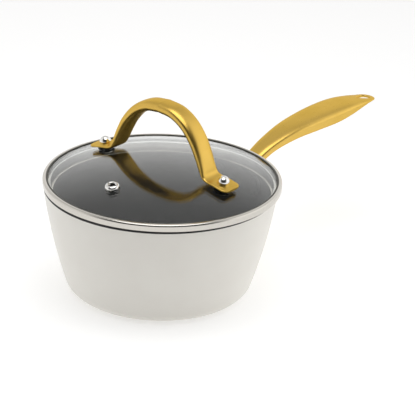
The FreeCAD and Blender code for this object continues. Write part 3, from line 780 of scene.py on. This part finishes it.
def make_arch(gold, reach):
    """Arched bar whose two ends flatten into rounded feet."""
    rows = arch_rows(reach)
    mirrored = [[-s, z, -slope, w, t, q] for s, z, slope, w, t, q in reversed(rows[1:])]
    around = ARCH_AROUND
    place = lid_place()
    vertices = []
    sections = mirrored + rows
    for along, height, slope, width, thick, square in sections:
        lean = math.radians(slope)
        normal = Vector((-math.sin(lean), 0.0, math.cos(lean)))
        for step in range(around):
            turn = 2 * math.pi * step / around
            y = bulged(math.cos(turn), square) * width / 2
            up = bulged(math.sin(turn), square) * thick / 2
            point = Vector((along, y, height)) + normal * up
            vertices.append(place @ (point * MM))
    faces = []
    for row in range(len(sections) - 1):
        for step in range(around):
            ahead = (step + 1) % around
            faces.append((row * around + step, row * around + ahead,
                          (row + 1) * around + ahead, (row + 1) * around + step))
    faces.append(tuple(range(around)))
    last = (len(sections) - 1) * around
    faces.append(tuple(last + step for step in range(around)))
    return finish_mesh("lid_arch", make_mesh("lid_arch", vertices, faces), [gold], sharp=50.0)


# ---------------------------------------------------------------- lid

DRILL_LENGTH = 30.0 * MM


def cut(piece, cutter, place):
    """Takes a cutter, laid at a place, out of a piece."""
    cutter.matrix_world = place
    bpy.context.view_layer.update()
    modifier = piece.modifiers.new("cut", "BOOLEAN")
    modifier.operation = "DIFFERENCE"
    modifier.solver = "EXACT"
    modifier.object = cutter
    shaped = bpy.data.meshes.new_from_object(
        piece.evaluated_get(bpy.context.evaluated_depsgraph_get()))
    piece.modifiers.clear()
    piece.data = shaped
    bpy.data.objects.remove(cutter)
    shaped.shade_smooth()
    shaped.set_sharp_from_angle(angle=math.radians(SHARP_ANGLE))


def drill(piece, radius, place):
    """Takes a round hole out of a piece."""
    bpy.ops.mesh.primitive_cylinder_add(vertices=SMALL_TURNS, radius=radius, depth=DRILL_LENGTH)
    cut(piece, bpy.context.object, place)


def make_glass(glass, foot_places, vent_place):
    """Domed glass with a rounded edge and three holes."""
    inner = DOME_RADIUS - GLASS_THICK
    edge = GLASS_RADIUS
    reaches = [edge * i / DOME_STEPS for i in range(DOME_STEPS)]
    top = [(reach, dome_height(reach, DOME_RADIUS)) for reach in reaches]
    under = [(reach, dome_height(reach, inner)) for reach in reaches]
    corners = [
        top[-1] + (0.0,),
        (edge, dome_height(edge, DOME_RADIUS), GLASS_EDGE_ROUND),
        (edge, dome_height(edge, inner), GLASS_EDGE_ROUND),
        under[-1] + (0.0,),
    ]
    outline = list(reversed(under)) + top + soft_outline(corners)[1:-1]
    piece = lathe("dome_glass", outline, [glass], lid_place())
    for place in foot_places.values():
        drill(piece, GLASS_HOLE_RADIUS, place)
    drill(piece, VENT_HOLE_RADIUS, vent_place)
    return dress(piece, "lid", "glass_lid")


def make_band(steel, skirt_steel_painted_light):
    """Rolled steel hoop: a lip over the glass, a bead, a raised hem, a seat and a skirt."""
    rim, bead, sheet = band_radius, BAND_BEAD, BAND_SHEET
    skirt, step = SKIRT_RADIUS, STEP_RADIUS
    foot = lid_seat - SKIRT_DEPTH
    hem = lid_seat + HEM_LIFT
    edge = sheet * SHEET_SOFT
    skirt_low = foot + 1.5 * sheet   # above the flange, which keeps the band's finish
    corners = [
        (rim - BAND_LIP, band_top - sheet, edge),
        (rim - BAND_LIP, band_top, edge),
        (rim, band_top, bead),
        (rim, hem, HEM_ROUND),
        (step, hem, edge),
        (step, lid_seat, edge),
        (skirt, lid_seat, sheet),
        (skirt - SKIRT_TAPER, foot, edge),
        (skirt - SKIRT_TAPER - SKIRT_FLANGE, foot, edge),
        (skirt - SKIRT_TAPER - SKIRT_FLANGE, foot + sheet, edge),
        (skirt - SKIRT_TAPER - sheet, foot + sheet, 0.0),
        (skirt - sheet, lid_seat + sheet, sheet),
        (step - sheet, lid_seat + sheet, edge),
        (step - sheet, hem + sheet, edge),
        (rim - sheet, hem + sheet, HEM_ROUND - sheet),
        (rim - sheet, band_top - sheet, bead - sheet),
    ]
    outline = soft_outline(corners)
    # the skirt takes the second material: the band's steel, painted lighter as painted light
    piece = lathe("rim_hoop", outline, [steel, skirt_steel_painted_light], lid_place(), sharp=50.0,
                  edge_material=lambda i: 1 if skirt_low < outline[i][1] < hem else 0)
    return dress(piece, "lid", "lid_rim_band")


def make_seal(rubber_dark):
    """Soft channel round the edge of the glass, inside the band."""
    inner = DOME_RADIUS - GLASS_THICK
    lip = band_radius - SEAL_LIP
    edge = GLASS_RADIUS + PLAY
    outside = band_radius - BAND_SHEET - PLAY
    lip_gap = band_radius - BAND_LIP - PLAY
    under_lip = band_top - BAND_SHEET - PLAY
    seat = lid_seat + BAND_SHEET + PLAY
    over_hem = seat + HEM_LIFT
    step = STEP_RADIUS - BAND_SHEET - PLAY
    corners = [
        (lip, dome_height(lip, DOME_RADIUS) + PLAY, 0.0),
        (edge, dome_height(edge, DOME_RADIUS) + PLAY, 0.0),
        (edge, dome_height(edge, inner) - PLAY, 0.0),
        (lip, dome_height(edge, inner) - PLAY, EDGE_SOFT),
        (lip, seat, EDGE_SOFT),
        (step, seat, SMALL_SOFT),
        (step, over_hem, SMALL_SOFT),
        (band_radius - HEM_ROUND, over_hem, FINE_SOFT),
        (outside, lid_seat + HEM_LIFT + HEM_ROUND, FINE_SOFT),
        (outside, band_top - BAND_BEAD, SMALL_SOFT),
        (band_radius - BAND_BEAD, under_lip, SMALL_SOFT),
        (lip_gap, under_lip, 0.0),
        (lip_gap, band_top - SEAL_SINK, FINE_SOFT),
        (lip, band_top - SEAL_SINK, FINE_SOFT),
    ]
    piece = lathe("edge_seal", soft_outline(corners), [rubber_dark], lid_place())
    return dress(piece, "lid", "rim_seal")


# heights of the stack under the glass, down from its top
gasket_high = -GLASS_THICK - PLAY
gasket_low = gasket_high - GASKET_THICK
washer_low = gasket_low - WASHER_THICK


def turn_part(name, corners, material, place):
    """Small turned part from its (radius, height, rounding) corners."""
    return lathe(name, soft_outline(corners), [material], place, SMALL_TURNS)


def ring_corners(inner, outer, low, high, soft):
    """Corners of a ring with rounded edges."""
    return [(inner, low, soft / 2), (outer, low, soft), (outer, high, soft), (inner, high, soft / 2)]


def gasket_corners(inner, outer, sleeve, neck_soft):
    """Corners of a gasket under the glass with a sleeve up into the hole."""
    return [
        (inner, gasket_low, 0.0),
        (outer, gasket_low, EDGE_SOFT),
        (outer, gasket_high, EDGE_SOFT),
        (sleeve, gasket_high, 0.0),
        (sleeve, -GASKET_NECK, neck_soft),
        (inner, -GASKET_NECK, neck_soft),
    ]


def make_foot_stack(side, place, chrome, black):
    """Spacer, gasket, washer and rivet that hold one foot on the glass."""
    inner = STUD_RADIUS + PLAY
    spacer = turn_part("spacer_" + side,
                       ring_corners(inner, SPACER_RADIUS, 0.0, SPACER_HEIGHT, SPACER_SOFT),
                       black, place)
    dress(spacer, "lid", "foot_spacer_" + side)
    gasket = turn_part("under_gasket_" + side,
                       gasket_corners(inner, GASKET_RADIUS, GLASS_HOLE_RADIUS - PLAY, SMALL_SOFT),
                       black, place)
    dress(gasket, "lid", "glass_gasket_" + side)
    washer = turn_part("under_washer_" + side,
                       ring_corners(inner, WASHER_RADIUS, washer_low, gasket_low, SMALL_SOFT),
                       chrome, place)
    dress(washer, "lid", "back_washer_" + side)
    seat = SPACER_HEIGHT + FOOT_THICK
    tail = washer_low - STUD_TAIL_HEIGHT
    dome = seat + STUD_HEAD_HEIGHT - STUD_HEAD_RADIUS
    outline = soft_outline([
        (0.0, tail, 0.0),
        (STUD_TAIL_RADIUS, tail, TAIL_SOFT),
        (STUD_TAIL_RADIUS, washer_low, SMALL_SOFT),
        (STUD_RADIUS, washer_low, 0.0),
        (STUD_RADIUS, seat, 0.0),
        (STUD_HEAD_RADIUS, seat, EDGE_SOFT),
    ])
    for step in range(HEAD_STEPS + 1):
        angle = math.pi / 2 * step / HEAD_STEPS
        outline.append((STUD_HEAD_RADIUS * math.cos(angle),
                        dome + STUD_HEAD_RADIUS * math.sin(angle)))
    stud = lathe("stud_" + side, outline, [chrome], place, SMALL_TURNS)
    dress(stud, "lid", "lid_rivet_" + side)


def make_vent(place, chrome, black):
    """Rolled eyelet with two notches in its lip, and the gasket under it."""
    tube = VENT_BORE + VENT_TUBE
    eyelet = turn_part("eyelet", [
        (VENT_BORE, washer_low, FINE_SOFT),
        (VENT_FOOT, washer_low, EDGE_SOFT),
        (VENT_FOOT, gasket_low, SMALL_SOFT),
        (tube, gasket_low, 0.0),
        (tube, VENT_LIFT, 0.0),
        (VENT_FLANGE, VENT_LIFT, EDGE_SOFT),
        (VENT_FLANGE, VENT_COLLAR, VENT_SOFT),
        (VENT_BORE, VENT_COLLAR, TAIL_SOFT),
    ], chrome, place)
    bpy.ops.mesh.primitive_cube_add(size=1.0)
    notch = Matrix.Diagonal((VENT_SLOT, 2 * VENT_BORE + VENT_SLOT_OVER, 2 * VENT_SLOT_DEPTH, 1.0))
    cut(eyelet, bpy.context.object, place @ Matrix.Translation((0.0, 0.0, VENT_COLLAR)) @ notch)
    dress(eyelet, "lid", "vent_eyelet")
    gasket = turn_part("eyelet_gasket",
                       gasket_corners(tube + PLAY, VENT_FLANGE, VENT_HOLE_RADIUS - PLAY, 0.0),
                       black, place)
    dress(gasket, "lid", "vent_gasket")


# ---------------------------------------------------------------- stage

def make_camera():
    """Camera at the picture's angle, aimed beside the pan's axis."""
    across = Vector((math.cos(-VIEW_AZIMUTH), math.sin(-VIEW_AZIMUTH), 0.0))
    level = Vector((math.sin(VIEW_AZIMUTH), math.cos(VIEW_AZIMUTH), 0.0))
    forward = level * math.cos(VIEW_ELEVATION) - Vector((0.0, 0.0, math.sin(VIEW_ELEVATION)))
    up = across.cross(forward)
    aim = across * AIM_ACROSS + Vector((0.0, 0.0, rim_height - AIM_BELOW_RIM))
    rolled_across = across * math.cos(VIEW_ROLL) + up * math.sin(VIEW_ROLL)
    rolled_up = up * math.cos(VIEW_ROLL) - across * math.sin(VIEW_ROLL)
    turn = Matrix((rolled_across, rolled_up, -forward)).transposed().to_4x4()
    data = bpy.data.cameras.new("camera")
    data.lens = LENS
    data.sensor_width = SENSOR
    data.clip_end = CAMERA_REACH
    camera = bpy.data.objects.new("camera", data)
    camera.matrix_world = Matrix.Translation(aim - forward * VIEW_DISTANCE) @ turn
    bpy.context.scene.collection.objects.link(camera)
    bpy.context.scene.camera = camera
    return across, level


def make_floor():
    """Plain pale floor."""
    half = FLOOR_HALF
    corners = [(-half, -half, 0.0), (half, -half, 0.0), (half, half, 0.0), (-half, half, 0.0)]
    mesh = make_mesh("floor", corners, [(0, 1, 2, 3)])
    mesh.materials.append(new_material("floor_paint", {
        "Base Color": opaque([FLOOR_TONE] * 3), "Roughness": 0.9, "Specular IOR Level": 0.0,
        "Emission Color": (1.0, 1.0, 1.0, 1.0), "Emission Strength": FLOOR_GLOW})[0])
    floor = bpy.data.objects.new("floor", mesh)
    floor.location.z = pan_low.z
    bpy.context.scene.collection.objects.link(floor)


def add_overhead_lamp():
    """Round soft lamp above the pan."""
    data = bpy.data.lights.new("overhead", "AREA")
    data.shape = "DISK"
    data.size = LAMP_WIDTH
    data.energy = LAMP_POWER
    lamp = bpy.data.objects.new("overhead", data)
    lamp.location = LAMP_PLACE
    look = Vector(LAMP_AIM) - Vector(LAMP_PLACE)
    lamp.rotation_euler = look.to_track_quat("-Z", "Y").to_euler()
    bpy.context.scene.collection.objects.link(lamp)


def light_room(across, level):
    """Pale room: brighter to the right, to the left and behind, dim above the camera."""
    world = bpy.data.worlds.new("studio")
    bpy.context.scene.world = world
    world.use_nodes = True
    tree = world.node_tree
    tree.nodes.clear()
    sky = add_node(tree, "ShaderNodeTexCoord").outputs["Generated"]

    def towards(direction, start, end, low, high):
        """Value that goes from low to high as the ray turns towards a direction."""
        turned = combine_vectors(tree, "DOT_PRODUCT", sky, tuple(direction.normalized()))
        ramp = add_node(tree, "ShaderNodeMapRange",
                        {"Value": turned, "From Min": start, "From Max": end,
                         "To Min": low, "To Max": high}, interpolation_type="SMOOTHSTEP")
        return ramp.outputs["Result"]

    above_camera = Vector((0.0, 0.0, 0.6)) - level * 0.8
    right = towards(across, start=0.2, end=1.0, low=0.0, high=0.72)
    left = towards(-across, start=0.3, end=1.0, low=0.0, high=0.4)
    behind = towards(level, start=0.6, end=1.0, low=0.0, high=0.45)
    dimmed = towards(above_camera, start=0.35, end=0.8, low=1.0, high=0.08)
    glow = combine(tree, "ADD", ROOM_GLOW, right)
    glow = combine(tree, "ADD", glow, left)
    glow = combine(tree, "ADD", glow, behind)
    glow = combine(tree, "MULTIPLY", glow, dimmed)
    seen = add_node(tree, "ShaderNodeLightPath").outputs["Is Camera Ray"]
    strength = add_node(tree, "ShaderNodeMix", {"Factor": seen, "A": glow, "B": 1.0},
                        data_type="FLOAT")
    shade = add_node(tree, "ShaderNodeBackground", {
        "Color": (1.0, 0.995, 0.985, 1.0), "Strength": strength.outputs["Result"]})
    add_node(tree, "ShaderNodeOutputWorld", {"Surface": shade.outputs["Background"]})


# ---------------------------------------------------------------- assembly

bpy.context.scene.view_settings.view_transform = "Standard"
image_right, image_depth = make_camera()
make_floor()
light_room(image_right, image_depth)
add_overhead_lamp()

enamel = cream_enamel()
coating = nonstick()
# One gold plating in two tones: the grip's gold is painted lighter as a painted highlight, the
# arch's gold is painted darker as painted shade; the handle bracket takes the grip's lighter gold.
gold_grip_painted_light = satin_gold("gold_grip_painted_light", low_tone=(0.705, 0.465, 0.1), high_tone=(0.75, 0.5, 0.12))
gold_arch_painted_shade = satin_gold("gold_arch_painted_shade", low_tone=(0.66, 0.43, 0.09), high_tone=(0.7, 0.46, 0.105),
                       turn=-lid_turn)
steel = satin_steel("satin_steel", lid_centre, tone=(0.60, 0.575, 0.53),
                    smoothest=0.14, roughest=0.22)
# The skirt is the band's own steel sheet: its rougher brushing is real, its lighter tone is painted
# light.
skirt_steel_painted_light = satin_steel("skirt_steel_painted_light", lid_centre, tone=(0.80, 0.79, 0.77),
                          smoothest=0.42, roughest=0.55)
chrome = polished_steel("polished_steel", roughness=0.07)
black = rubber("black_rubber", (0.012, 0.012, 0.012), roughness=0.4)
sealant = rubber("dark_sealant", (0.030, 0.028, 0.018), roughness=0.35)
glass = clear_glass()

make_pan(enamel, coating)
dress(make_grip(gold_grip_painted_light), "pan", "long_handle")
foot_places = {"front": on_dome(FOOT_REACH, 0.0), "back": on_dome(FOOT_REACH, math.pi)}
vent_place = on_dome(VENT_REACH, -math.pi / 2)
make_glass(glass, foot_places, vent_place)
make_band(steel, skirt_steel_painted_light)
make_seal(sealant)
dress(make_arch(gold_arch_painted_shade, FOOT_REACH), "lid", "lid_handle")
for side, place in foot_places.items():
    make_foot_stack(side, place, chrome, black)
make_vent(vent_place, chrome, black)

cad_finishes = {
    "base_disc": polished_steel("disc_steel", roughness=0.25),
    "handle_bracket": gold_grip_painted_light,
    "handle_rivet_left": coating,
    "handle_rivet_right": coating,
}
for node, material in cad_finishes.items():
    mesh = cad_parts[node].data
    mesh.materials.clear()
    mesh.materials.append(material)
